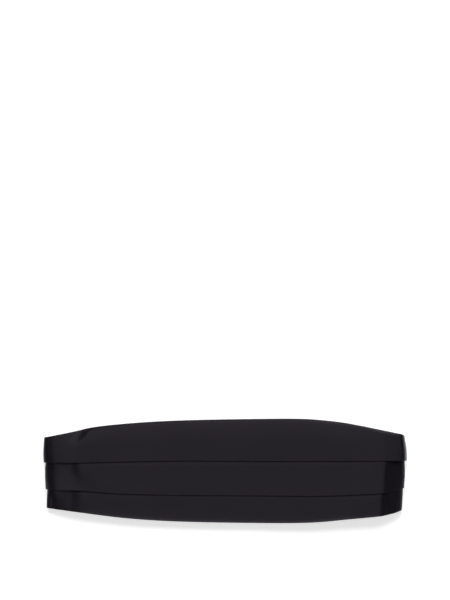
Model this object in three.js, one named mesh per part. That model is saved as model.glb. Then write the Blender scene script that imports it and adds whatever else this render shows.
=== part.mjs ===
// A pleated satin cummerbund, closed at the back and lying flat on a table with its front up.
// X runs along the band, +Y is its upper edge and +Z points out of the pleated front. Millimetres.
// The origin is on the table under the middle of the band.
// Three long pleats run round the loop: along the front, round a soft fold at each side, and
// back under it as two tapering flaps. A strap is sewn inside each flap, and the two straps
// are looped round the outer bars of one flat clasp.
import * as THREE from "three";

const CLOTH = 1.2; // a pleat is two plies of satin pressed together
const GAP = 0.3; // left between pieces that touch
const OVER = CLOTH + GAP; // how far a pleat's lower edge stands off to pass over the next one
const FLAP_Z = OVER + CLOTH; // inner face of the flaps, whose pleats lie on the table
const TUCK_SHARE = 0.35; // of a pleat's height, how much of the next one is hidden under it
const TUCK_EASE = 1.5; // a pleat clears the next one this far above that one's hidden edge
const EDGE_RISE = 2.6; // on the front, how far a pleat's folded edge stands off
const LOWEST_RISE = 1; // the same for the lowest edge
const FRONT = { full: 205, gone: 240 }; // where these fade out along the cloth, either way

// The side folds: where the front ends and how the inner face of the loop turns under it.
const LEFT_FOLD = { x: -208, top: 21, reach: 11.9, steps: 11 };
const RIGHT_FOLD = { x: 195, top: 27.4, tipX: 219.7, tipZ: 11.5, underX: 203, steps: 8 };
const LEFT_FLAP = { end: -112, steps: 5 };
const RIGHT_FLAP = { end: 108, steps: 5 };
const FRONT_STEP = { plain: 13, nearDents: 3.5, dentsFrom: -204, dentsTo: -162 };

// The satin's cut. Each row is a section across the band, at a distance measured along the
// cloth from the middle of the front: its top edge, the two pleat edges and its bottom edge.
const CUT = [
  { along: -336, top: 21.5, first: 5.5, second: -11.5, bottom: -26.5 },
  { along: -240, top: 37.4, first: 9.4, second: -21.4, bottom: -43.0 },
  { along: -224, top: 40.5, first: 9.9, second: -23.0, bottom: -46.4 },
  { along: -208, top: 43.4, first: 10.2, second: -23.4, bottom: -47.7 },
  { along: -178, top: 49.6, first: 10.2, second: -24.4, bottom: -51.3 },
  { along: -166, top: 52.6, first: 10.5, second: -25.3, bottom: -52.9 },
  { along: -150, top: 55.0, first: 10.9, second: -26.5, bottom: -55.0 },
  { along: -120, top: 58.0, first: 11.6, second: -28.0, bottom: -58.4 },
  { along: -80, top: 60.7, first: 12.4, second: -29.0, bottom: -61.3 },
  { along: -30, top: 62.5, first: 12.7, second: -29.6, bottom: -63.1 },
  { along: 45, top: 63.7, first: 12.2, second: -30.1, bottom: -64.1 },
  { along: 92, top: 63.9, first: 12.4, second: -30.5, bottom: -63.9 },
  { along: 118, top: 62.4, first: 12.6, second: -30.3, bottom: -62.7 },
  { along: 150, top: 58.6, first: 12.7, second: -29.2, bottom: -59.6 },
  { along: 195, top: 49.9, first: 12.9, second: -26.8, bottom: -55.1 },
  { along: 211, top: 46.3, first: 12.7, second: -24.3, bottom: -52.3 },
  { along: 224, top: 43.3, first: 12.2, second: -21.6, bottom: -48.9 },
  { along: 253, top: 37.4, first: 10.8, second: -19.4, bottom: -42.6 },
  { along: 338, top: 21.5, first: 5.5, second: -11.5, bottom: -26.5 },
];

// How high the inner face of the front stands over the table.
const FRONT_RISE = [
  { x: -208, z: 21.0 },
  { x: -192, z: 21.6 },
  { x: -150, z: 21.2 },
  { x: -60, z: 19.8 },
  { x: 30, z: 20.2 },
  { x: 120, z: 24.4 },
  { x: 180, z: 27.6 },
  { x: 195, z: 27.4 },
];

// The side folds aren't square to the band: their shift along X at four heights.
const LEAN = [
  { y: -64, left: 1.2, right: -3.6 },
  { y: -23, left: 1.4, right: -1.9 },
  { y: 13, left: -0.4, right: 0.6 },
  { y: 64, left: -2.2, right: -1.8 },
];
const LEAN_REACH = 220;

// The top and bottom edges roll inwards on the front and lie flat at the flaps' ends. The roll
// takes up this share of its pleat's height.
const ROLL = { share: 0.55, topDepth: 2.3, bottomDepth: 1.7 };
const ROLL_SHARE = [
  { along: -336, share: 0 },
  { along: -208, share: 0.1 },
  { along: -186, share: 0.25 },
  { along: -162, share: 1 },
  { along: 145, share: 1 },
  { along: 180, share: 0.35 },
  { along: 208, share: 0.15 },
  { along: 338, share: 0 },
];

// The folds' own shapes. From a place along the cloth on, in one direction, the pleats named
// sink in, or stand out where the depth is below 0: a depth by height, and the share of it by
// the distance past that place. At the right the top pleat stays full, and the lower two fall
// away behind a crease. At the left the bottom pleat sinks towards its corner.
const FOLD_SHAPES = [
  {
    pleats: ["pleat_top"], from: 195, heading: 1,
    depth: [{ y: 10, deep: -6 }, { y: 60, deep: -6 }],
    run: [
      { past: 0, share: 0 },
      { past: 9, share: 0.46 },
      { past: 17.4, share: 0.89 },
      { past: 21.5, share: 1 },
      { past: 22.5, share: 0.96 },
      { past: 24.2, share: 0.68 },
      { past: 27, share: 0.16 },
      { past: 31, share: 0 },
    ],
  },
  {
    pleats: ["pleat_middle"], from: 195, heading: 1,
    depth: [{ y: 2, deep: 0 }, { y: 9, deep: -0.9 }],
    run: [{ past: 0, share: 0 }, { past: 5, share: 1 }, { past: 14, share: 0 }],
  },
  {
    pleats: ["pleat_bottom"], from: 192.5, heading: 1,
    depth: [{ y: -56, deep: 1 }, { y: -20, deep: 1 }],
    run: [
      { past: 0, share: 0 },
      { past: 3, share: 1 },
      { past: 13, share: 1 },
      { past: 20, share: 0 },
    ],
  },
  {
    pleats: ["pleat_middle", "pleat_bottom"], from: 195, heading: 1,
    depth: [{ y: -56, deep: 0.6 }, { y: -28, deep: 0.3 }, { y: -16, deep: 0.8 }],
    run: [
      { past: 0, share: 0 },
      { past: 11, share: 1 },
      { past: 15, share: 1 },
      { past: 21, share: 1.4 },
      { past: 31, share: 0.8 },
      { past: 40, share: 0 },
    ],
  },
  {
    pleats: ["pleat_middle", "pleat_bottom"], from: -205, heading: -1,
    depth: [
      { y: -56, deep: 2.4 },
      { y: -32, deep: 2 },
      { y: -24, deep: 0.8 },
      { y: -8, deep: 1.5 },
      { y: 4, deep: 2 },
      { y: 13, deep: 0.3 },
    ],
    run: [
      { past: 0, share: 0 },
      { past: 5, share: 0.5 },
      { past: 10, share: 1 },
      { past: 15, share: 0.6 },
      { past: 17.5, share: 0 },
      { past: 20, share: -0.7 },
      { past: 26, share: -0.4 },
      { past: 32, share: 0 },
    ],
  },
  {
    pleats: ["pleat_top"], from: -205, heading: -1,
    depth: [{ y: 10, deep: -1.6 }, { y: 60, deep: -1.6 }],
    run: [
      { past: 0, share: 0 },
      { past: 4, share: 0.1 },
      { past: 10, share: 0.9 },
      { past: 12, share: 1 },
      { past: 15, share: 0.7 },
      { past: 19, share: 0 },
    ],
  },
  {
    pleats: ["pleat_bottom"], from: -180, heading: -1,
    depth: [{ y: -60, deep: 4.2 }, { y: -36, deep: 3.4 }, { y: -24, deep: 0.6 }],
    run: [
      { past: 0, share: 0 },
      { past: 5, share: 0.08 },
      { past: 18, share: 0.5 },
      { past: 25, share: 0.85 },
      { past: 30, share: 0.95 },
      { past: 35, share: 1.05 },
      { past: 40, share: 1.1 },
      { past: 43, share: 0.7 },
      { past: 46, share: 0 },
    ],
  },
];

// Where the front creases beside the left fold: one hollow on each pleat, with its reach each
// way from its middle. Below the middle it fans out to the right. The bottom pleat also follows
// the middle pleat's hollow.
const DENTS = {
  pleat_top: {
    along: -175, y: 47, depth: 4.2, lean: 0.7, left: 15, right: 5, up: 12, down: 10, fan: 0,
  },
  pleat_middle: {
    along: -190, y: 1, depth: 3.4, lean: 0.1, left: 32, right: 7.5, up: 22, down: 34, fan: 0.8,
  },
  pleat_bottom: {
    along: -190, y: -30, depth: 2.6, lean: 0.1, left: 34, right: 7.5, up: 16, down: 40, fan: 0.3,
  },
};

// The straps and the clasp behind.
const STRAP = { thick: 1.2, width: 38, sewn: 20, turnBack: 24, centreY: -2.5 };
const SETTLE = 9; // run in which a strap comes down from its flap to the table
const CLASP = { outerX: 12, barX: 8, slotX: 3.5, height: 46, thick: 2, slotY: 39.6, corner: 3 };

const SATIN_COLOUR = 0x232024;
const STRAP_COLOUR = 0x1f1d20;
const CLASP_COLOUR = 0x2b2b2e;

// The value of one column at a place between a table's rows, on a smooth curve through them.
function valueAt(rows, key, column, place) {
  const at = THREE.MathUtils.clamp(place, rows[0][key], rows[rows.length - 1][key]);
  const next = Math.max(1, rows.findIndex((row) => row[key] >= at));
  const slope = (i) => {
    const a = rows[Math.max(0, i - 1)];
    const b = rows[Math.min(rows.length - 1, i + 1)];
    return (b[column] - a[column]) / (b[key] - a[key]);
  };
  const [low, high] = [rows[next - 1], rows[next]];
  const run = high[key] - low[key];
  const t = (at - low[key]) / run;
  return (
    low[column] * (1 + 2 * t) * (1 - t) ** 2 +
    high[column] * t * t * (3 - 2 * t) +
    run * t * (1 - t) * (slope(next - 1) * (1 - t) - slope(next) * t)
  );
}

// The same on straight lines between the rows.
function straightAt(rows, key, column, place) {
  const at = THREE.MathUtils.clamp(place, rows[0][key], rows[rows.length - 1][key]);
  const next = Math.max(1, rows.findIndex((row) => row[key] >= at));
  const [low, high] = [rows[next - 1], rows[next]];
  return THREE.MathUtils.mapLinear(at, low[key], high[key], low[column], high[column]);
}

function hump(distance, spread) {
  return Math.exp(-((distance / spread) ** 2));
}

// Points down the inner face of the loop, in X and Z: left flap, left fold, front, right fold,
// right flap.
function loopPoints() {
  const at = (x, z) => new THREE.Vector2(x, z);
  const left = LEFT_FOLD;
  const right = RIGHT_FOLD;
  const leftFlap = new THREE.LineCurve(at(LEFT_FLAP.end, FLAP_Z), at(left.x, FLAP_Z));
  const leftFold = new THREE.EllipseCurve(
    left.x, (FLAP_Z + left.top) / 2, left.reach, (left.top - FLAP_Z) / 2,
    1.5 * Math.PI, 0.5 * Math.PI, true,
  );
  const front = [];
  for (let x = left.x; x < right.x - FRONT_STEP.plain / 2; ) {
    front.push(at(x, valueAt(FRONT_RISE, "x", "z", x)));
    const nearDents = x >= FRONT_STEP.dentsFrom && x < FRONT_STEP.dentsTo;
    x += nearDents ? FRONT_STEP.nearDents : FRONT_STEP.plain;
  }
  front.push(at(right.x, right.top));
  // The right fold starts at a crease, slopes down as a flat facet and then turns under.
  const facet = new THREE.CubicBezierCurve(
    at(right.x, right.top), at(right.x + 12, right.top - 5.4),
    at(right.tipX, right.tipZ + 5.5), at(right.tipX, right.tipZ),
  );
  const underTurn = new THREE.CubicBezierCurve(
    at(right.tipX, right.tipZ), at(right.tipX, right.tipZ - 5.5),
    at(right.underX + 9, FLAP_Z), at(right.underX, FLAP_Z),
  );
  const rightFlap = new THREE.LineCurve(at(right.underX, FLAP_Z), at(RIGHT_FLAP.end, FLAP_Z));
  return [
    ...leftFlap.getPoints(LEFT_FLAP.steps).slice(0, -1),
    ...leftFold.getPoints(left.steps).slice(0, -1),
    ...front,
    ...facet.getPoints(right.steps).slice(1),
    ...underTurn.getPoints(right.steps).slice(1),
    ...rightFlap.getPoints(RIGHT_FLAP.steps).slice(1),
  ];
}

// The sections of the band: the point on the loop's inner face, the outward direction there,
// and the distance along the cloth from the middle of the front.
function loopSections() {
  const points = loopPoints();
  const run = [0];
  for (let i = 1; i < points.length; i += 1) {
    run.push(run[i - 1] + points[i].distanceTo(points[i - 1]));
  }
  const frontStart = points.findIndex((p) => p.x === LEFT_FOLD.x && p.y > FLAP_Z);
  return points.map((point, i) => {
    const before = points[Math.max(0, i - 1)];
    const after = points[Math.min(points.length - 1, i + 1)];
    const heading = after.clone().sub(before).normalize();
    const along = run[i] - run[frontStart] + LEFT_FOLD.x;
    return { x: point.x, z: point.y, outX: -heading.y, outZ: heading.x, along };
  });
}

function foldDepth(name, along, y) {
  return FOLD_SHAPES.filter((shape) => shape.pleats.includes(name)).reduce((sum, shape) => {
    const past = shape.heading * (along - shape.from);
    const share = straightAt(shape.run, "past", "share", past);
    return sum + share * straightAt(shape.depth, "y", "deep", y);
  }, 0);
}

function dentDepth(name, along, y) {
  const dent = DENTS[name];
  const above = y - dent.y;
  const beside = along - dent.along - dent.lean * above;
  const reach = beside > 0 ? dent.right + dent.fan * Math.max(0, -above) : dent.left;
  const followed = name === "pleat_bottom" ? dentDepth("pleat_middle", along, y) : 0;
  return followed + dent.depth * hump(beside, reach) * hump(above, above > 0 ? dent.up : dent.down);
}

// Where a point of a pleat lies: at a height across the band, so far out from the inner face.
function place(name, section, y, out) {
  const { along } = section;
  const shaped = out - foldDepth(name, along, y) - dentDepth(name, along, y);
  const x = section.x + section.outX * shaped;
  const z = section.z + section.outZ * shaped;
  const shift = valueAt(LEAN, "y", x < 0 ? "left" : "right", y);
  return new THREE.Vector3(x + shift * (x / LEAN_REACH) ** 2, y, z);
}

// The inner face of each pleat at one section, from its upper edge down: pairs of a height and
// a distance out from the loop's inner face.
function pleatFaces(section) {
  const cut = (column) => valueAt(CUT, "along", column, section.along);
  const [top, first, second, bottom] = ["top", "first", "second", "bottom"].map(cut);
  const roll = valueAt(ROLL_SHARE, "along", "share", section.along);
  const hiddenMiddle = first + TUCK_SHARE * (top - first);
  const hiddenBottom = second + TUCK_SHARE * (first - second);
  const [topEdge, lowestEdge] = [top - CLOTH / 2, bottom + CLOTH / 2];
  const front =
    THREE.MathUtils.smoothstep(section.along, -FRONT.gone, -FRONT.full) *
    (1 - THREE.MathUtils.smoothstep(section.along, FRONT.full, FRONT.gone));
  const edgeRise = OVER + front * (EDGE_RISE - OVER);
  const curl = (y, from, height, depth) =>
    roll * depth * Math.max(0, 1 - Math.abs(y - from) / (ROLL.share * height)) ** 2;
  const ramp = (high, low, from, to, steps) =>
    Array.from({ length: steps + 1 }, (_, i) => [
      high + ((low - high) * i) / steps,
      from + ((to - from) * i) / steps,
    ]);
  return {
    pleat_top: [
      ...ramp(topEdge, hiddenMiddle + TUCK_EASE, 0, OVER, 5),
      [first + CLOTH / 2, edgeRise],
    ].map(([y, out]) => [y, out - curl(y, topEdge, top - first, ROLL.topDepth)]),
    pleat_middle: [
      [hiddenMiddle, 0],
      ...ramp(first, hiddenBottom + TUCK_EASE, 0, OVER, 3),
      [second + CLOTH / 2, edgeRise],
    ],
    pleat_bottom: [
      [hiddenBottom, 0],
      ...ramp(second, lowestEdge, 0, front * LOWEST_RISE, 5),
    ].map(([y, out]) => [y, out - curl(y, lowestEdge, second - bottom, ROLL.bottomDepth)]),
  };
}

// A pleat's closed outline at a section: its edges are folds, so they are half rounds.
function pleatOutline(face, roundTop) {
  const edge = CLOTH / 2;
  const halfRound = ([y, out], direction) =>
    [45, 90, 135].map((degrees) => {
      const angle = THREE.MathUtils.degToRad(degrees);
      return [y + direction * edge * Math.sin(angle), out + edge + edge * Math.cos(angle)];
    });
  const outer = face.map(([y, out]) => [y, out + CLOTH]);
  const inner = [...face].reverse();
  const crown = roundTop ? halfRound(face[0], 1).reverse() : [];
  return [...outer, ...halfRound(face[face.length - 1], -1), ...inner, ...crown];
}

// A closed solid lofted through rings of the same number of points. Its two ends are closed by
// ladders of triangles, which climb from the middle of the pleat's lower edge.
function loft(rings, lowerEdge) {
  const count = rings[0].length;
  const positions = rings.flat().flatMap((point) => point.toArray());
  const faces = [];
  for (let r = 0; r + 1 < rings.length; r += 1) {
    for (let i = 0; i < count; i += 1) {
      const [a, b] = [r * count + i, r * count + ((i + 1) % count)];
      faces.push(a, b, a + count, b, b + count, a + count);
    }
  }
  const last = (rings.length - 1) * count;
  const addEnds = (a, b, c) => faces.push(a, c, b, last + a, last + b, last + c);
  for (let rung = 0; 2 * rung + 1 < count; rung += 1) {
    const outer = lowerEdge - rung;
    const nextOuter = (outer - 1 + count) % count;
    const inner = (lowerEdge + rung) % count;
    const nextInner = (inner + 1) % count;
    if (rung > 0) {
      addEnds(nextOuter, (outer + count) % count, inner);
    }
    if (nextOuter !== nextInner) {
      addEnds(nextOuter, inner, nextInner);
    }
  }
  const geometry = new THREE.BufferGeometry();
  geometry.setAttribute("position", new THREE.Float32BufferAttribute(positions, 3));
  geometry.setIndex(faces);
  geometry.computeVertexNormals();
  return geometry;
}

function pleat(name) {
  const sections = loopSections();
  const rings = sections.map((section) => {
    const outline = pleatOutline(pleatFaces(section)[name], name === "pleat_top");
    return outline.map(([y, out]) => place(name, section, y, out));
  });
  const lowerEdge = pleatFaces(sections[0])[name].length + 1;
  return mesh(name, loft(rings, lowerEdge), SATIN_COLOUR, 0.45, 0);
}

// The right strap's route in X and Z: from inside its flap down to the table, under the clasp's
// outer bar, up through the slot and back over the bar to lie on itself.
function strapRoute(flapEnd) {
  const half = STRAP.thick / 2;
  const insideFlap = FLAP_Z + GAP + half;
  const ontoItself = 3 * half + GAP;
  const barMiddle = STRAP.thick + GAP + CLASP.thick / 2;
  const bendRadius = CLASP.thick / 2 + GAP + half;
  const overBar = barMiddle + bendRadius;
  const route = new THREE.Path();
  route.moveTo(flapEnd + STRAP.sewn, insideFlap);
  route.lineTo(flapEnd - GAP, insideFlap);
  route.bezierCurveTo(
    flapEnd - SETTLE / 2, insideFlap, flapEnd - SETTLE / 2, half, flapEnd - SETTLE, half,
  );
  route.lineTo(CLASP.barX, half);
  route.absarc(CLASP.barX, barMiddle, bendRadius, 1.5 * Math.PI, 0.5 * Math.PI, true);
  route.lineTo(CLASP.outerX, overBar);
  route.bezierCurveTo(
    CLASP.outerX + 4, overBar, CLASP.outerX + 4, ontoItself, CLASP.outerX + 8, ontoItself,
  );
  route.lineTo(CLASP.barX + STRAP.turnBack, ontoItself);
  return route.getPoints(8);
}

// A flat shape that follows a route with the strap's thickness.
function ribbon(route) {
  const points = route.filter((p, i) => i === 0 || p.distanceTo(route[i - 1]) > 0.01);
  const side = (sign) =>
    points.map((point, i) => {
      const before = points[Math.max(0, i - 1)];
      const after = points[Math.min(points.length - 1, i + 1)];
      const heading = after.clone().sub(before).normalize();
      const offset = (sign * STRAP.thick) / 2;
      return new THREE.Vector2(point.x - heading.y * offset, point.y + heading.x * offset);
    });
  return new THREE.Shape([...side(1), ...side(-1).reverse()]);
}

function strap(name, flapEnd, mirrored) {
  const route = strapRoute(Math.abs(flapEnd));
  const sided = mirrored ? route.map((p) => new THREE.Vector2(-p.x, p.y)) : route;
  const geometry = new THREE.ExtrudeGeometry(ribbon(sided), {
    depth: STRAP.width,
    bevelEnabled: false,
  });
  geometry.rotateX(Math.PI / 2);
  const made = mesh(name, geometry, STRAP_COLOUR, 0.55, 0);
  made.position.y = STRAP.centreY + STRAP.width / 2;
  return made;
}

function roundedRectangle(centreX, halfX, halfY, radius) {
  const shape = new THREE.Shape();
  const [left, right] = [centreX - halfX + radius, centreX + halfX - radius];
  shape.absarc(right, radius - halfY, radius, -0.5 * Math.PI, 0, false);
  shape.absarc(right, halfY - radius, radius, 0, 0.5 * Math.PI, false);
  shape.absarc(left, halfY - radius, radius, 0.5 * Math.PI, Math.PI, false);
  shape.absarc(left, radius - halfY, radius, Math.PI, 1.5 * Math.PI, false);
  return shape;
}

// One flat plate with a round-ended slot for each strap.
function clasp() {
  const plate = roundedRectangle(0, CLASP.outerX, CLASP.height / 2, CLASP.corner);
  const slotHalf = (CLASP.barX - CLASP.slotX) / 2;
  for (const sign of [-1, 1]) {
    const slotMiddle = sign * (CLASP.slotX + slotHalf);
    plate.holes.push(roundedRectangle(slotMiddle, slotHalf, CLASP.slotY / 2, slotHalf * 0.9));
  }
  const geometry = new THREE.ExtrudeGeometry(plate, {
    depth: CLASP.thick,
    bevelEnabled: false,
    curveSegments: 3,
  });
  const made = mesh("back_clasp", geometry, CLASP_COLOUR, 0.35, 0.9);
  made.position.set(0, STRAP.centreY, STRAP.thick + GAP);
  return made;
}

function mesh(name, geometry, color, roughness, metalness) {
  const material = new THREE.MeshStandardMaterial({ color, roughness, metalness });
  const made = new THREE.Mesh(geometry, material);
  made.name = name;
  return made;
}

const cummerbund = new THREE.Group();
cummerbund.add(
  pleat("pleat_top"),
  pleat("pleat_middle"),
  pleat("pleat_bottom"),
  strap("strap_left", LEFT_FLAP.end, true),
  strap("strap_right", RIGHT_FLAP.end, false),
  clasp(),
);

export default cummerbund;
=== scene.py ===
import math

import bmesh
import bpy
from mathutils import Matrix, Vector, noise


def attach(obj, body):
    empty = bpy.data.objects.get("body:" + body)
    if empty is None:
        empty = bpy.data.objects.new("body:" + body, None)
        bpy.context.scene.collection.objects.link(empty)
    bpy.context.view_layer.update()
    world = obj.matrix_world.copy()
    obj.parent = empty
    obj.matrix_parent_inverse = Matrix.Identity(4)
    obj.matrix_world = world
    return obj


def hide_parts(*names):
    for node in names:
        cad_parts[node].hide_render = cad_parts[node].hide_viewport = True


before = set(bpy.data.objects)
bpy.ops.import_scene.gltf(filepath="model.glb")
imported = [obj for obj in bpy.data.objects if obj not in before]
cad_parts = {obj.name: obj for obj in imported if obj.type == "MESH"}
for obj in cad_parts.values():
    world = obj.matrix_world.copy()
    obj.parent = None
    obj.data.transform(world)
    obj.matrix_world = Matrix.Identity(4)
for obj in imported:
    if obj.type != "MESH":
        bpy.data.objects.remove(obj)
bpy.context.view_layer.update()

# Black satin cummerbund, closed behind and lying on its back on a pale table.
# X runs along the band, +Y is its upper edge, +Z points out of the pleated front.
# Lengths in the dictionaries are millimetres unless a note says otherwise; meshes are metres.
mm = 0.001

# 450 x 600 pixels, seen from straight above the middle of the picture
picture = {
    "width": 450, "height": 600,
    "middleColumn": 225.15, "middleRow": 471.05,   # where the middle of the sash shows
    "pixel": 1.2252,                               # what a pixel spans on the front
    "distance": 4000, "frontHeight": 24,
}


def addObject(name, data):
    thing = bpy.data.objects.new(name, data)
    bpy.context.scene.collection.objects.link(thing)
    return thing


def makeCamera():
    lens = bpy.data.cameras.new("camera")
    lens.lens = lens.sensor_width * picture["distance"] / (picture["height"] * picture["pixel"])
    camera = addObject("camera", lens)
    camera.location = (
        (picture["width"] / 2 - picture["middleColumn"]) * picture["pixel"] * mm,
        (picture["middleRow"] - picture["height"] / 2) * picture["pixel"] * mm,
        (picture["distance"] + picture["frontHeight"]) * mm,
    )
    bpy.context.scene.camera = camera


makeCamera()
print("camera placed")


# A table maps places to values. These find the two rows round a place.
def rowsRound(table, place):
    knots = sorted(table)
    at = min(max(place, knots[0]), knots[-1])
    upper = max(1, next(i for i, knot in enumerate(knots) if knot >= at))
    return knots, upper, at


# Values between the rows, on a smooth curve through them, for a table of tuples.
def curveAt(table, place):
    knots, upper, at = rowsRound(table, place)
    low, high = knots[upper - 1], knots[upper]

    def slope(i):
        before, after = knots[max(0, i - 1)], knots[min(len(knots) - 1, i + 1)]
        return [(b - a) / (after - before) for a, b in zip(table[before], table[after])]

    run = high - low
    t = (at - low) / run
    rows = zip(table[low], table[high], slope(upper - 1), slope(upper))
    return [
        a * (1 + 2 * t) * (1 - t) ** 2 + b * t * t * (3 - 2 * t)
        + run * t * (1 - t) * (slopeA * (1 - t) - slopeB * t)
        for a, b, slopeA, slopeB in rows
    ]


def straightAt(table, place):        # the same on straight lines, for a table of single values
    knots, upper, at = rowsRound(table, place)
    low, high = knots[upper - 1], knots[upper]
    return table[low] + (table[high] - table[low]) * (at - low) / (high - low)


def easeBetween(start, end, value):
    t = min(max((value - start) / (end - start), 0), 1)
    return t * t * (3 - 2 * t)


def hump(distance, spread):
    return math.exp(-((distance / spread) ** 2))


def spaced(start, end, count):        # closer together towards both ends
    return [start + (end - start) * (1 - math.cos(math.pi * i / (count - 1))) / 2 for i in range(count)]


def bezier(points, steps):
    a, b, c, d = [Vector(p) for p in points]
    return [
        a * (1 - t) ** 3 + b * 3 * t * (1 - t) ** 2 + c * 3 * t * t * (1 - t) + d * t ** 3
        for t in [i / steps for i in range(1, steps + 1)]
    ]


def lengthsAlong(points):
    lengths = [0.0]
    for a, b in zip(points, points[1:]):
        lengths.append(lengths[-1] + (b - a).length)
    return lengths


# The loop's run in X and Z, along its inner face.
loop = {
    "leftEnd": -112, "rightEnd": 108,      # where the flaps end behind
    "flapHeight": 2.7,                     # inner face of the flaps over the table
    "leftFold": {"x": -208, "top": 21, "reach": 11.9},
    "rightFold": {
        "x": 195, "top": 27.4, "tipX": 219.7, "tipZ": 11.5, "underX": 203,
        "shoulder": 12, "shoulderDrop": 5.4, "tipPull": 5.5, "underPull": 9,      # its curves' handles
    },
    "frontRise": {
        -208: (21.0,), -192: (21.6,), -150: (21.2,), -60: (19.8,),
        30: (20.2,), 120: (24.4,), 180: (27.6,), 195: (27.4,),
    },
    "step": 2.8, "foldStep": 1.5, "foldFrom": 186,      # between stations, and near the folds
    "turnSteps": 40, "headingReach": 2,
}


def loopRun():
    left, right, flap, steps = loop["leftFold"], loop["rightFold"], loop["flapHeight"], loop["turnSteps"]
    run = [Vector((x, flap)) for x in range(loop["leftEnd"], left["x"], -1)]
    middle, half = (flap + left["top"]) / 2, (left["top"] - flap) / 2
    for i in range(steps):
        turn = math.pi * i / steps
        run.append(Vector((left["x"] - left["reach"] * math.sin(turn), middle - half * math.cos(turn))))
    run += [Vector((x, curveAt(loop["frontRise"], x)[0])) for x in range(left["x"], right["x"] + 1)]
    tip, pull = Vector((right["tipX"], right["tipZ"])), Vector((0, right["tipPull"]))
    shoulder = (right["x"] + right["shoulder"], right["top"] - right["shoulderDrop"])
    under = (right["underX"] + right["underPull"], flap)
    run += bezier([(right["x"], right["top"]), shoulder, tip + pull, tip], steps)
    run += bezier([tip, tip - pull, under, (right["underX"], flap)], steps)
    run += [Vector((x, flap)) for x in range(right["underX"] - 1, loop["rightEnd"] - 1, -1)]
    return run


# Stations along the cloth: place, outward direction, and distance from the middle of the front.
def loopStations():
    run = loopRun()
    along = lengthsAlong(run)
    left, reach = loop["leftFold"], loop["headingReach"]
    frontStart = next(i for i, p in enumerate(run) if p.x == left["x"] and p.y > left["top"] / 2)
    shift = left["x"] - along[frontStart]
    stations, last = [], -math.inf
    for i, point in enumerate(run):
        step = loop["foldStep"] if abs(point.x) > loop["foldFrom"] else loop["step"]
        if along[i] - last < step and i < len(run) - 1:
            continue
        last = along[i]
        heading = (run[min(i + reach, len(run) - 1)] - run[max(i - reach, 0)]).normalized()
        stations.append({
            "x": point.x, "z": point.y, "outX": -heading.y, "outZ": heading.x,
            "along": along[i] + shift,
        })
    return stations


# The satin: its cut across the band at distances along it, and how it is pleated.
satin = {
    "ply": 0.45, "pleat": 1.2,                   # one ply, a folded pleat
    # a pleat's inner face: over the next one's top, at its folded edge, under the edge above
    "rise": 1.5, "edgeRise": 2.6, "lowestRise": 1.0, "underEdge": -0.9,
    "grooveWidth": 1.9, "pastGroove": 0.1,
    "tuckShare": 0.35, "tuckEase": 1.5, "turnOverEase": 1.2,
    # where along the cloth the first and the second pleat's edge stand out in full, or not at all
    "edgeFade": [{"left": (-226, -204), "right": (226, 200)}, {"left": (-222, -200), "right": (215, 190)}],
    "cut": {       # along the band: top edge, first pleat's edge, second pleat's edge, bottom edge
        -336: (21.5, 5.5, -11.5, -26.5), -240: (37.4, 9.4, -21.4, -43.0),
        -224: (40.5, 9.9, -23.0, -46.4), -208: (43.4, 10.2, -23.4, -47.7),
        -178: (49.6, 10.2, -24.4, -51.3), -166: (52.6, 10.5, -25.3, -52.9),
        -150: (55.0, 10.9, -26.5, -55.0), -120: (58.0, 11.6, -28.0, -58.4),
        -80: (60.7, 12.4, -29.0, -61.3), -30: (62.5, 12.7, -29.6, -63.1),
        45: (63.7, 12.2, -30.1, -64.1), 92: (63.9, 12.4, -30.5, -63.9),
        118: (62.4, 12.6, -30.3, -62.7), 150: (58.6, 12.7, -29.2, -59.6),
        195: (49.9, 12.9, -26.8, -55.1), 211: (46.3, 12.7, -24.3, -52.3),
        224: (43.3, 12.2, -21.6, -48.9), 253: (37.4, 10.8, -19.4, -42.6),
        338: (21.5, 5.5, -11.5, -26.5),
    },
    "lean": {      # at a height: how far the left and the right fold shift along X
        -64: (1.2, -3.6), -23: (1.4, -1.9), 13: (-0.4, 0.6), 64: (-2.2, -1.8),
    },
    "leanReach": 220,
    "rim": {"top": 0.9, "bottom": 0.7, "reach": 3.5},        # the outer edges turn down a little
    "rollShare": 0.55, "topRoll": 2.3, "bottomRoll": 1.7,    # edges that curl inwards
    "rollAlong": {
        -336: (0,), -208: (0.1,), -186: (0.25,), -162: (1,),
        145: (1,), 180: (0.35,), 208: (0.15,), 338: (0,),
    },
}
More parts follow.
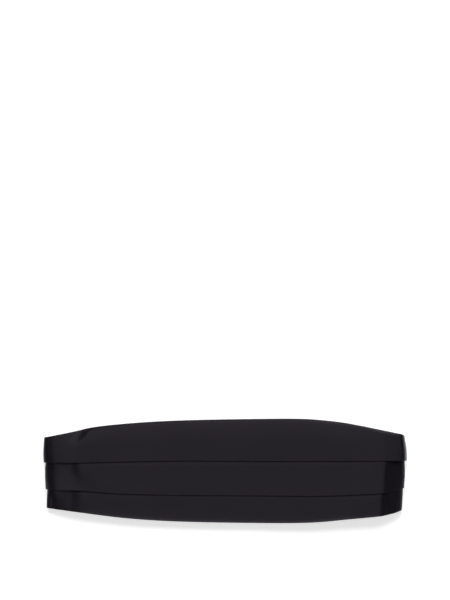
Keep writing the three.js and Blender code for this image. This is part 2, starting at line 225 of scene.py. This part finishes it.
# The folds' own shape: how deep a pleat sinks in (or stands out, below 0) by height, and the
# share of it by the distance from where that starts.
folds = [
    {"pleats": ("top",), "from": 195, "heading": 1, "depth": {10: -6, 60: -6},
     "run": {0: 0, 9: 0.47, 17.4: 0.97, 19.5: 1.12, 21.5: 1.06, 22.5: 0.98, 24.2: 0.68, 27: 0.16, 31: 0}},
    {"pleats": ("middle",), "from": 195, "heading": 1, "depth": {2: 0, 9: -0.9, 30: -0.9},
     "run": {0: 0, 5: 1, 14: 0}},
    {"pleats": ("bottom",), "from": 192.5, "heading": 1, "depth": {-56: 1, -20: 1},
     "run": {0: 0, 3: 1, 13: 1, 20: 0}},
    {"pleats": ("middle", "bottom"), "from": 195, "heading": 1, "depth": {-56: 0.6, -28: 0.3, -16: 0.8},
     "run": {0: 0, 11: 1, 15: 1, 21: 1.4, 31: 0.8, 40: 0}},
    {"pleats": ("middle", "bottom"), "from": -205, "heading": -1,
     "depth": {-56: 1.7, -32: 1.6, -24: 0.8, -8: 1.5, 4: 2, 13: 0.3},
     "run": {0: 0, 5: 0.5, 10: 1, 15: 0.6, 17.5: 0, 20: -0.7, 26: -0.4, 32: 0}},
    {"pleats": ("top",), "from": -205, "heading": -1, "depth": {-56: -1.0, 60: -1.0},
     "run": {0: 0, 6: -0.3, 9: -0.3, 12: 0.6, 14: 1.1, 16: 0.9, 20: 0}},
    {"pleats": ("bottom",), "from": -180, "heading": -1, "depth": {-60: 4.2, -36: 3.4, -24: 0.6},
     "run": {0: 0, 5: 0.08, 18: 0.5, 25: 0.85, 30: 0.95, 35: 1.05, 40: 1.1, 43: 0.7, 46: 0}},
]
dents = {    # where the front creases beside the left fold: one hollow on each pleat, that fans out
    "top": {"along": -175, "y": 47, "depth": 4.2, "lean": 0.7,
            "left": 15, "right": 5, "up": 12, "down": 10, "fan": 0},
    "middle": {"along": -190, "y": 1, "depth": 3.4, "lean": 0.1,
               "left": 32, "right": 7.5, "up": 22, "down": 34, "fan": 0.8},
    "bottom": {"along": -190, "y": -30, "depth": 2.6, "lean": 0.1,
               "left": 34, "right": 7.5, "up": 16, "down": 40, "fan": 0.3},
}
rippleFade = {"left": (-232, -200), "right": (232, 195)}
ripples = [   # soft unevenness of the front: depth, and the length of a ripple along and across
    {"depth": 0.55, "along": 75, "across": 60, "seed": 1.7},
    {"depth": 0.16, "along": 26, "across": 30, "seed": 5.1},
]


def onFront(fade, along):        # 1 on the front, and down to 0 round both folds
    return easeBetween(*fade["left"], along) * easeBetween(*fade["right"], along)


def dentAt(pleatName, along, y):
    dent = dents[pleatName]
    across = y - dent["y"]
    beside = along - dent["along"] - dent["lean"] * across
    reachAlong = dent["right"] + dent["fan"] * max(0, -across) if beside > 0 else dent["left"]
    reachAcross = dent["up"] if across > 0 else dent["down"]
    above = dentAt("middle", along, y) if pleatName == "bottom" else 0
    return above + dent["depth"] * hump(beside, reachAlong) * hump(across, reachAcross)


def sunkAt(pleatName, along, y):
    return sum(
        straightAt(fold["depth"], y) * straightAt(fold["run"], fold["heading"] * (along - fold["from"]))
        for fold in folds if pleatName in fold["pleats"]
    )


def rippleAt(along, y):
    front = onFront(rippleFade, along)
    if front == 0:
        return 0
    return front * sum(
        r["depth"] * noise.noise(Vector((along / r["along"], y / r["across"], r["seed"])))
        for r in ripples
    )


def onLoop(pleatName, station, y, out):
    along = station["along"]
    out = out - dentAt(pleatName, along, y) - sunkAt(pleatName, along, y) + rippleAt(along, y)
    x = station["x"] + station["outX"] * out
    z = station["z"] + station["outZ"] * out
    leftLean, rightLean = curveAt(satin["lean"], y)
    x += (leftLean if x < 0 else rightLean) * (x / satin["leanReach"]) ** 2
    return Vector((x, y, z)) * mm


# What one pleat spans at a station: its upper and lower edge, and where it rises over the next.
def pleatSpan(name, along):
    top, first, second, bottom = curveAt(satin["cut"], along)
    roll = curveAt(satin["rollAlong"], along)[0]
    hiddenMiddle = first + satin["tuckShare"] * (top - first)
    hiddenBottom = second + satin["tuckShare"] * (first - second)
    topRoll = satin["rollShare"] * (top - first)
    half = satin["pleat"] / 2
    front, frontBelow = [onFront(fade, along) for fade in satin["edgeFade"]]
    spread = satin["edgeRise"] - satin["rise"]
    if name == "top":
        return {"upper": top - half, "lower": first + half, "hidden": hiddenMiddle,
                "faces": {first + half: satin["rise"] + front * spread,
                          hiddenMiddle + satin["tuckEase"]: satin["rise"], top - half: 0},
                "topRoll": topRoll, "topDepth": roll * satin["topRoll"],
                "rim": top - half, "rimDepth": front * satin["rim"]["top"]}
    if name == "middle":
        return {"upper": hiddenMiddle, "lower": second + half, "hidden": hiddenMiddle,
                "faces": {second + half: satin["rise"] + frontBelow * spread,
                          hiddenBottom + satin["tuckEase"]: satin["rise"],
                          first - satin["grooveWidth"]: front * satin["pastGroove"],
                          first: front * satin["underEdge"], hiddenMiddle: 0}}
    bottomRoll = satin["rollShare"] * (second - bottom)
    return {"upper": hiddenBottom, "lower": bottom + half, "hidden": hiddenBottom,
            "faces": {bottom + half: frontBelow * satin["lowestRise"],
                      second - satin["grooveWidth"]: frontBelow * satin["pastGroove"],
                      second: frontBelow * satin["underEdge"], hiddenBottom: 0},
            "bottomRoll": bottomRoll, "bottomDepth": roll * satin["bottomRoll"],
            "rim": bottom + half, "rimDepth": front * satin["rim"]["bottom"]}


def innerFace(span, y):
    out = straightAt(span["faces"], y)
    if "topRoll" in span:
        out -= span["topDepth"] * max(0, 1 - (span["upper"] - y) / span["topRoll"]) ** 2
    if "bottomRoll" in span:
        out -= span["bottomDepth"] * max(0, 1 - (y - span["lower"]) / span["bottomRoll"]) ** 2
    if "rim" in span:
        out -= span["rimDepth"] * max(0, 1 - abs(y - span["rim"]) / satin["rim"]["reach"]) ** 2
    return out


counts = {"outer": 26, "inner": 12, "turnedOver": 9, "fold": 7}        # points across each part


# The middle line of a pleat's cloth at a station, as heights and distances out.
def pleatSection(name, along):
    span = pleatSpan(name, along)
    half, bend = satin["pleat"] / 2, (satin["pleat"] - satin["ply"]) / 2

    def plyAt(y, side):
        return (y, innerFace(span, y) + half + side * bend)

    def foldAt(y, direction):
        turns = [math.pi * i / (counts["fold"] + 1) for i in range(1, counts["fold"] + 1)]
        middle = innerFace(span, y) + half
        return [(y + direction * bend * math.sin(a), middle + bend * math.cos(a)) for a in turns]

    section = []
    if name == "top":                        # the upper edge is turned over to the back
        start = span["hidden"] + satin["turnOverEase"]
        section += [plyAt(y, -1) for y in spaced(start, span["upper"], counts["turnedOver"])]
        section += foldAt(span["upper"], 1)[::-1]
    section += [plyAt(y, 1) for y in spaced(span["upper"], span["lower"], counts["outer"])]
    section += foldAt(span["lower"], -1)
    section += [plyAt(y, -1) for y in spaced(span["lower"], span["hidden"], counts["inner"])]
    return section


# A grid bent so that its lines follow rows of points, with the flat cloth's own measure as UVs.
def clothFromRows(name, rows, flatAlong):
    across, along = len(rows[0]) - 1, len(rows) - 1
    bm = bmesh.new()
    cloth = bm.loops.layers.uv.new("cloth")
    bmesh.ops.create_grid(bm, x_segments=along, y_segments=across, size=0.5)
    flatAcross = [lengthsAlong(row) for row in rows]
    cells = {v: (round((v.co.x + 0.5) * along), round((v.co.y + 0.5) * across)) for v in bm.verts}
    for vert, (i, j) in cells.items():
        vert.co = rows[i][j]
    for face in bm.faces:
        for corner in face.loops:
            i, j = cells[corner.vert]
            corner[cloth].uv = (flatAlong[i] * mm, flatAcross[i][j])
        face.smooth = True
    bmesh.ops.recalc_face_normals(bm, faces=bm.faces)
    return addPiece(name, bm)


def addPiece(name, bm):
    mesh = bpy.data.meshes.new(name)
    bm.to_mesh(mesh)
    bm.free()
    piece = addObject(name, mesh)
    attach(piece, "root")
    return piece


def thicken(piece, thickness):
    wall = piece.modifiers.new("thickness", "SOLIDIFY")
    wall.thickness = thickness * mm
    wall.offset = 0
    wall.use_even_offset = True


stations = loopStations()
flatAlong = [s["along"] for s in stations]
liesOn = {"top": ["satin_pleat_middle"], "middle": ["satin_pleat_bottom"], "bottom": []}
pleats = {}
for pleatName in liesOn:
    rows = [
        [onLoop(pleatName, s, y, out) for y, out in pleatSection(pleatName, s["along"])]
        for s in stations
    ]
    pleats[pleatName] = clothFromRows("satin_pleat_" + pleatName, rows, flatAlong)
    thicken(pleats[pleatName], satin["ply"])
    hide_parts("pleat_" + pleatName)
print("pleats laid,", len(stations), "stations")


# Straps: woven bands sewn inside the flaps, down to the table, and back over the clasp's bars.
strap = {
    "thick": 1.2, "width": 38, "middleY": -2.5, "gap": 0.3,
    "sewn": 20, "settle": 9,                         # inside the flap, and from there down to the table
    "turnBack": 24, "drop": 4, "land": 8,            # past the bar, and where it comes down on itself
    "acrossSteps": 20,
    "steps": {"sewn": 10, "settle": 10, "flat": 40, "bend": 12, "overBar": 4, "drop": 8, "back": 6},
}
clasp = {
    "outerX": 12, "barX": 8, "slotX": 3.5, "height": 46, "thick": 2, "slotY": 39.6,
    "corner": 3, "slotCorner": 1.6, "edge": 0.45,    # radii
    "cornerSteps": 6, "slotSteps": 4, "edgeSteps": 3,
    "sharp": 1.0,                                    # an edge that bends more, in radians, is softened
}


def line(start, end, count):
    return [Vector(start).lerp(Vector(end), i / count) for i in range(1, count + 1)]


def strapRoute(flapEnd):
    half, gap = strap["thick"] / 2, strap["gap"]
    insideFlap = loop["flapHeight"] + gap + half
    ontoItself = 3 * half + gap
    barMiddle = strap["thick"] + gap + clasp["thick"] / 2
    bend = clasp["thick"] / 2 + gap + half
    bar, outer, steps = clasp["barX"], clasp["outerX"], strap["steps"]
    halfway, settled = flapEnd - strap["settle"] / 2, flapEnd - strap["settle"]
    drop, land = outer + strap["drop"], outer + strap["land"]
    route = [Vector((flapEnd + strap["sewn"], insideFlap))]
    route += line(route[-1], (flapEnd - gap, insideFlap), steps["sewn"])
    route += bezier([route[-1], (halfway, insideFlap), (halfway, half), (settled, half)], steps["settle"])
    route += line(route[-1], (bar, half), steps["flat"])
    for i in range(1, steps["bend"] + 1):
        turn = math.pi * i / steps["bend"]
        route.append(Vector((bar - bend * math.sin(turn), barMiddle - bend * math.cos(turn))))
    route += line(route[-1], (outer, barMiddle + bend), steps["overBar"])
    route += bezier([route[-1], (drop, barMiddle + bend), (drop, ontoItself), (land, ontoItself)],
                    steps["drop"])
    route += line(route[-1], (bar + strap["turnBack"], ontoItself), steps["back"])
    return route


def makeStrap(name, flapEnd, side):
    route = strapRoute(flapEnd)
    low = strap["middleY"] - strap["width"] / 2
    steps = strap["acrossSteps"]
    ys = [low + strap["width"] * j / steps for j in range(steps + 1)]
    rows = [[Vector((side * p.x, y, p.y)) * mm for y in ys] for p in route]
    piece = clothFromRows(name, rows, lengthsAlong(route))
    thicken(piece, strap["thick"])
    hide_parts("strap_left" if side < 0 else "strap_right")
    return piece


straps = {
    "left": makeStrap("woven_strap_left", -loop["leftEnd"], -1),
    "right": makeStrap("woven_strap_right", loop["rightEnd"], 1),
}
print("straps threaded")


# The clasp: one flat plate, its two slots cut from a grid, every edge softened.
def makeClasp():
    bm = bmesh.new()
    xs = [-clasp["outerX"], -clasp["barX"], -clasp["slotX"], clasp["slotX"], clasp["barX"], clasp["outerX"]]
    ys = [-clasp["height"] / 2, -clasp["slotY"] / 2, clasp["slotY"] / 2, clasp["height"] / 2]
    bmesh.ops.create_grid(bm, x_segments=len(xs) - 1, y_segments=len(ys) - 1, size=0.5)
    bottom = strap["thick"] + strap["gap"]
    for vert in bm.verts:
        i = round((vert.co.x + 0.5) * (len(xs) - 1))
        j = round((vert.co.y + 0.5) * (len(ys) - 1))
        vert.co = Vector((xs[i], strap["middleY"] + ys[j], bottom)) * mm
    slotMiddle = (clasp["slotX"] + clasp["barX"]) / 2 * mm
    slots = [
        f for f in bm.faces
        if abs(abs(f.calc_center_median().x) - slotMiddle) < mm
        and abs(f.calc_center_median().y - strap["middleY"] * mm) < mm
    ]
    bmesh.ops.delete(bm, geom=slots, context="FACES")
    raised = bmesh.ops.extrude_face_region(bm, geom=bm.faces[:])
    bmesh.ops.translate(
        bm, verts=[g for g in raised["geom"] if isinstance(g, bmesh.types.BMVert)],
        vec=(0, 0, clasp["thick"] * mm),
    )
    bmesh.ops.recalc_face_normals(bm, faces=bm.faces)

    def sharpEdges():
        return [e for e in bm.edges if e.calc_face_angle(0) > clasp["sharp"]]

    upright = [e for e in sharpEdges() if abs(e.verts[0].co.z - e.verts[1].co.z) > mm]
    besideSlots = (clasp["barX"] + clasp["outerX"]) / 2 * mm
    outer = [e for e in upright if abs(e.verts[0].co.x) > besideSlots]
    inner = [e for e in upright if e not in outer]
    for edges, radius, segments in ((outer, clasp["corner"], clasp["cornerSteps"]),
                                    (inner, clasp["slotCorner"], clasp["slotSteps"])):
        bmesh.ops.bevel(bm, geom=edges, offset=radius * mm, segments=segments, profile=0.5,
                        affect="EDGES", material=-1)
    bmesh.ops.bevel(bm, geom=sharpEdges(), offset=clasp["edge"] * mm, segments=clasp["edgeSteps"],
                    profile=0.5, affect="EDGES", material=-1)
    for face in bm.faces:
        face.smooth = True
    piece = addPiece("two_slot_clasp", bm)
    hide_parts("back_clasp")
    return piece


claspPiece = makeClasp()
print("clasp made")


# Stitches: short thread loops in rows, joined into one piece for each seam group.
stitch = {
    "length": 2.2, "pitch": 3.0, "width": 0.42, "stand": 0.12,
    "margin": 3, "fromClasp": 10,                    # from the strap's edges, and from the clasp
    "sides": 6, "rings": 5,
}


def sewRow(bm, start, end, z):
    start, end = Vector((*start, z)), Vector((*end, z))
    total = (end - start).length
    heading = (end - start).normalized()
    number = max(1, round(total / stitch["pitch"]))
    turn = heading.to_track_quat("X", "Z").to_matrix().to_4x4()
    size = Matrix.Diagonal((stitch["length"] / 2, stitch["width"] / 2, stitch["width"] / 2, 1))
    for i in range(number):
        middle = start + heading * (total * (i + 0.5) / number)
        place = Matrix.Translation(middle * mm) @ turn @ Matrix.Scale(mm, 4) @ size
        bmesh.ops.create_uvsphere(
            bm, u_segments=stitch["sides"], v_segments=stitch["rings"], radius=1, matrix=place)


def makeStitches(name, side, flapEnd):
    bm = bmesh.new()
    margin = stitch["margin"]
    low = strap["middleY"] - strap["width"] / 2 + margin
    high = strap["middleY"] + strap["width"] / 2 - margin
    onFlap = loop["flapHeight"] + strap["gap"] + strap["thick"] + stitch["stand"] - stitch["width"] / 2
    turned = 2 * strap["thick"] + strap["gap"] + stitch["stand"] - stitch["width"] / 2
    boxes = [
        (flapEnd + margin, flapEnd + strap["sewn"] - margin, onFlap),
        (clasp["outerX"] + stitch["fromClasp"], clasp["barX"] + strap["turnBack"] - margin, turned),
    ]
    for near, far, z in boxes:
        corners = [(side * near, low), (side * far, low), (side * far, high), (side * near, high)]
        for a, b in zip(corners, corners[1:] + corners[:1]):
            sewRow(bm, a, b, z)
    for face in bm.faces:
        face.smooth = True
    piece = addPiece(name, bm)
    return piece


stitches = {
    "left": makeStitches("stitching_left", -1, -loop["leftEnd"]),
    "right": makeStitches("stitching_right", 1, loop["rightEnd"]),
}
print("stitches sewn")


# Materials
def addNode(tree, kind, **settings):
    node = tree.nodes.new("ShaderNode" + kind)
    for name, value in settings.items():
        setattr(node, name, value)
    return node


def mathNode(tree, operation, *values):
    node = addNode(tree, "Math", operation=operation)
    for socket, value in zip(node.inputs, values):
        if isinstance(value, (int, float)):
            socket.default_value = value
        else:
            tree.links.new(value, socket)
    return node.outputs[0]


def newGroup(name, inputs, outputs):
    tree = bpy.data.node_groups.new(name, "ShaderNodeTree")
    for label, kind, value in inputs:
        socket = tree.interface.new_socket(name=label, in_out="INPUT", socket_type="NodeSocket" + kind)
        if value is not None:
            socket.default_value = value
    for label, kind in outputs:
        tree.interface.new_socket(name=label, in_out="OUTPUT", socket_type="NodeSocket" + kind)
    return tree, tree.nodes.new("NodeGroupInput"), tree.nodes.new("NodeGroupOutput")


threads = {"ridge": 0.25, "middle": 0.5, "detail": 1}
clouds = {"middle": 0.5, "detail": 3}


# Threads of a woven cloth: floats lying along the cloth, in fine rows.
def makeThreadsGroup():
    tree, given, out = newGroup(
        "woven_threads",
        [("Cloth", "Vector", None), ("Rows", "Float", 3000.0), ("Float", "Float", 6.0),
         ("Unevenness", "Float", 0.6)],
        [("Height", "Float"), ("Shade", "Float")],
    )
    split = addNode(tree, "SeparateXYZ")
    tree.links.new(given.outputs["Cloth"], split.inputs[0])
    rows = mathNode(tree, "MULTIPLY", split.outputs["Y"], given.outputs["Rows"])
    perFloat = mathNode(tree, "DIVIDE", given.outputs["Rows"], given.outputs["Float"])
    floats = mathNode(tree, "MULTIPLY", split.outputs["X"], perFloat)
    spot = addNode(tree, "CombineXYZ")
    tree.links.new(floats, spot.inputs["X"])
    tree.links.new(rows, spot.inputs["Y"])
    streaks = addNode(tree, "TexNoise", noise_dimensions="2D")
    streaks.inputs["Scale"].default_value = 1
    streaks.inputs["Detail"].default_value = threads["detail"]
    tree.links.new(spot.outputs[0], streaks.inputs["Vector"])
    ridge = mathNode(tree, "SINE", mathNode(tree, "MULTIPLY", rows, 2 * math.pi))
    even = mathNode(tree, "MULTIPLY_ADD", ridge, threads["ridge"], threads["middle"])
    mix = addNode(tree, "Mix", data_type="FLOAT")
    tree.links.new(given.outputs["Unevenness"], mix.inputs["Factor"])
    tree.links.new(even, mix.inputs["A"])
    tree.links.new(streaks.outputs["Fac"], mix.inputs["B"])
    tree.links.new(mix.outputs["Result"], out.inputs["Height"])
    tree.links.new(streaks.outputs["Fac"], out.inputs["Shade"])
    return tree


# Broad cloudy unevenness, for handling marks and the way dye takes.
def makeCloudsGroup():
    tree, given, out = newGroup(
        "cloudy_marks",
        [("Place", "Vector", None), ("Size", "Float", 0.03), ("Contrast", "Float", 2.0)],
        [("Marks", "Float")],
    )
    scale = mathNode(tree, "DIVIDE", 1.0, given.outputs["Size"])
    cloudy = addNode(tree, "TexNoise")
    cloudy.inputs["Detail"].default_value = clouds["detail"]
    tree.links.new(given.outputs["Place"], cloudy.inputs["Vector"])
    tree.links.new(scale, cloudy.inputs["Scale"])
    centred = mathNode(tree, "SUBTRACT", cloudy.outputs["Fac"], clouds["middle"])
    stretched = mathNode(tree, "MULTIPLY_ADD", centred, given.outputs["Contrast"], clouds["middle"])
    clamp = addNode(tree, "Clamp")
    tree.links.new(stretched, clamp.inputs["Value"])
    tree.links.new(clamp.outputs[0], out.inputs["Marks"])
    return tree


threadsGroup = makeThreadsGroup()
cloudsGroup = makeCloudsGroup()


def newMaterial(name):
    material = bpy.data.materials.new(name)
    material.use_nodes = True
    return material, material.node_tree, material.node_tree.nodes["Principled BSDF"]


def addMarks(tree, size):
    place = addNode(tree, "TexCoord")
    marks = addNode(tree, "Group", node_tree=cloudsGroup)
    marks.inputs["Size"].default_value = size
    tree.links.new(place.outputs["Object"], marks.inputs["Place"])
    return marks.outputs["Marks"]


def shadeBetween(tree, shader, look, factor):
    tint = addNode(tree, "Mix", data_type="RGBA")
    tint.inputs["A"].default_value = (*look["dark"], 1)
    tint.inputs["B"].default_value = (*look["light"], 1)
    tree.links.new(factor, tint.inputs["Factor"])
    tree.links.new(tint.outputs["Result"], shader.inputs["Base Color"])


def roughen(tree, shader, look, factor):
    rough = mathNode(tree, "MULTIPLY_ADD", factor, look["roughSpread"], look["rough"])
    tree.links.new(rough, shader.inputs["Roughness"])


def emboss(tree, shader, look, height):
    bump = addNode(tree, "Bump")
    bump.inputs["Strength"].default_value = look["bump"]
    bump.inputs["Distance"].default_value = look["relief"] * mm
    tree.links.new(height, bump.inputs["Height"])
    tree.links.new(bump.outputs[0], shader.inputs["Normal"])


def clothMaterial(name, look):
    material, tree, shader = newMaterial(name)
    flat = addNode(tree, "UVMap", uv_map="cloth")
    weave = addNode(tree, "Group", node_tree=threadsGroup)
    weave.inputs["Rows"].default_value = look["rows"]
    weave.inputs["Float"].default_value = look["float"]
    weave.inputs["Unevenness"].default_value = look["unevenness"]
    tree.links.new(flat.outputs[0], weave.inputs["Cloth"])
    marks = addMarks(tree, look["cloud"])
    blend = mathNode(tree, "MULTIPLY_ADD", weave.outputs["Shade"], 0.5, 0.0)        # half from each
    blend = mathNode(tree, "MULTIPLY_ADD", marks, 0.5, blend)
    shadeBetween(tree, shader, look, blend)
    roughen(tree, shader, look, marks)
    emboss(tree, shader, look, weave.outputs["Height"])
    shader.inputs["Specular IOR Level"].default_value = look["specular"]
    shader.inputs["Specular Tint"].default_value = (*look["tint"], 1)
    shader.inputs["Sheen Weight"].default_value = look["sheen"]
    shader.inputs["Sheen Roughness"].default_value = look["sheenRough"]
    return material


satinLook = {
    "rows": 3200.0, "float": 9.0, "unevenness": 0.7, "cloud": 0.05,
    "dark": (0.0036, 0.0027, 0.0047), "light": (0.0058, 0.0045, 0.0074),
    "rough": 0.4, "roughSpread": 0.05, "bump": 0.3, "relief": 0.05,
    "specular": 0.23, "tint": (0.92, 0.82, 1.0), "sheen": 0.0, "sheenRough": 0.4,
}
strapLook = {
    "rows": 900.0, "float": 2.0, "unevenness": 0.35, "cloud": 0.02,
    "dark": (0.0065, 0.006, 0.0065), "light": (0.013, 0.012, 0.013),
    "rough": 0.68, "roughSpread": 0.1, "bump": 0.8, "relief": 0.25,
    "specular": 0.3, "tint": (1.0, 1.0, 1.0), "sheen": 0.12, "sheenRough": 0.5,
}
satinMaterial = clothMaterial("black_satin", satinLook)
strapMaterial = clothMaterial("black_woven_strap", strapLook)


threadLook = {
    "dark": (0.008, 0.007, 0.008), "light": (0.022, 0.02, 0.022), "twists": 900,
    "rough": 0.45, "roughSpread": 0.15,
}


def threadMaterial(look):
    material, tree, shader = newMaterial("black_sewing_thread")
    place = addNode(tree, "TexCoord")
    twist = addNode(tree, "TexWave", bands_direction="DIAGONAL")
    twist.inputs["Scale"].default_value = look["twists"]
    tree.links.new(place.outputs["Object"], twist.inputs["Vector"])
    shadeBetween(tree, shader, look, twist.outputs["Fac"])
    roughen(tree, shader, look, twist.outputs["Fac"])
    return material


claspLook = {      # dark enamel, and the light metal that shows where an edge is worn
    "dark": (0.012, 0.012, 0.013), "light": (0.09, 0.085, 0.08), "cloud": 0.003,
    "edgeFrom": 0.52, "edgeTo": 0.6,
    "rough": 0.28, "roughSpread": 0.12, "bump": 0.15, "relief": 0.05,
}


def claspMaterial(look):
    material, tree, shader = newMaterial("black_enamelled_metal")
    marks = addMarks(tree, look["cloud"])
    shape = addNode(tree, "NewGeometry")
    edge = addNode(tree, "MapRange")
    edge.inputs["From Min"].default_value = look["edgeFrom"]
    edge.inputs["From Max"].default_value = look["edgeTo"]
    tree.links.new(shape.outputs["Pointiness"], edge.inputs["Value"])
    worn = mathNode(tree, "MULTIPLY", edge.outputs[0], marks)
    shadeBetween(tree, shader, look, worn)
    tree.links.new(worn, shader.inputs["Metallic"])
    roughen(tree, shader, look, marks)
    emboss(tree, shader, look, marks)
    return material


for piece in pleats.values():
    piece.data.materials.append(satinMaterial)
for piece in straps.values():
    piece.data.materials.append(strapMaterial)
sewingThread = threadMaterial(threadLook)
for piece in stitches.values():
    piece.data.materials.append(sewingThread)
claspPiece.data.materials.append(claspMaterial(claspLook))
print("materials set")


# Table and light
stage = {"size": 8000, "shade": (0.86, 0.86, 0.86, 1), "rough": 0.9, "specular": 0.1, "glow": 0.548}
lights = {      # places and sizes in metres; the strips only glint on the turned edges
    "key": {"at": (0.0, 1.7, 2.6), "size": (1.3, 1.3), "power": 31, "seenIn": "shadows"},
    "panel": {"at": (0.0, 1.7, 2.6), "size": (2.2, 1.2), "power": 36, "seenIn": "both"},
    "fill": {"at": (0.0, -1.15, 2.6), "size": (2.6, 1.2), "power": 8, "seenIn": "both"},
    "highStrip": {"at": (1.2, 3.0, 2.0), "size": (1.6, 0.9), "power": 52, "seenIn": "gloss"},
    "lowStrip": {"at": (0.3, -2.8, 2.0), "size": (1.6, 0.8), "power": 36, "seenIn": "gloss"},
}
dome = {"zenith": 0.6, "horizon": 0.04, "darkBelow": 0.45, "darkSides": 0.8, "seen": 1.0}


def makeTable():
    bm = bmesh.new()
    bmesh.ops.create_grid(bm, x_segments=2, y_segments=2, size=stage["size"] / 2 * mm)
    mesh = bpy.data.meshes.new("table")
    bm.to_mesh(mesh)
    bm.free()
    table = addObject("table", mesh)
    material, _, shader = newMaterial("pale_table")
    shader.inputs["Base Color"].default_value = stage["shade"]
    shader.inputs["Roughness"].default_value = stage["rough"]
    shader.inputs["Specular IOR Level"].default_value = stage["specular"]
    shader.inputs["Emission Color"].default_value = (1, 1, 1, 1)
    shader.inputs["Emission Strength"].default_value = stage["glow"]
    mesh.materials.append(material)


def makeLight(name, setting):
    data = bpy.data.lights.new(name, "AREA")
    data.shape = "RECTANGLE"
    data.size, data.size_y = setting["size"]
    data.energy = setting["power"]
    light = addObject(name, data)
    light.location = setting["at"]
    light.visible_glossy = setting["seenIn"] != "shadows"
    light.visible_diffuse = setting["seenIn"] != "gloss"
    light.rotation_euler = (-Vector(setting["at"])).to_track_quat("-Z", "Y").to_euler()


def makeDome():
    world = bpy.data.worlds.new("studio_dome")
    bpy.context.scene.world = world
    world.use_nodes = True
    tree = world.node_tree
    sky = tree.nodes["Background"]
    place = addNode(tree, "TexCoord")
    split = addNode(tree, "SeparateXYZ")
    tree.links.new(place.outputs["Generated"], split.inputs[0])
    height = addNode(tree, "MapRange", interpolation_type="SMOOTHSTEP")
    height.inputs["From Min"].default_value = dome["darkBelow"]
    height.inputs["From Max"].default_value = 1.0
    height.inputs["To Min"].default_value = dome["horizon"]
    height.inputs["To Max"].default_value = dome["zenith"]
    sideways = mathNode(tree, "MULTIPLY", split.outputs["X"], split.outputs["X"])
    lowered = mathNode(tree, "MULTIPLY", sideways, dome["darkSides"])
    tree.links.new(mathNode(tree, "SUBTRACT", split.outputs["Z"], lowered), height.inputs["Value"])
    path = addNode(tree, "LightPath")
    mix = addNode(tree, "Mix", data_type="FLOAT")
    mix.inputs["B"].default_value = dome["seen"]
    tree.links.new(path.outputs["Is Camera Ray"], mix.inputs["Factor"])
    tree.links.new(height.outputs[0], mix.inputs["A"])
    tree.links.new(mix.outputs["Result"], sky.inputs["Strength"])
    sky.inputs["Color"].default_value = (1, 1, 1, 1)


makeTable()
for lightName, setting in lights.items():
    makeLight(lightName, setting)
makeDome()
bpy.context.scene.view_settings.view_transform = "Standard"
print("lit")
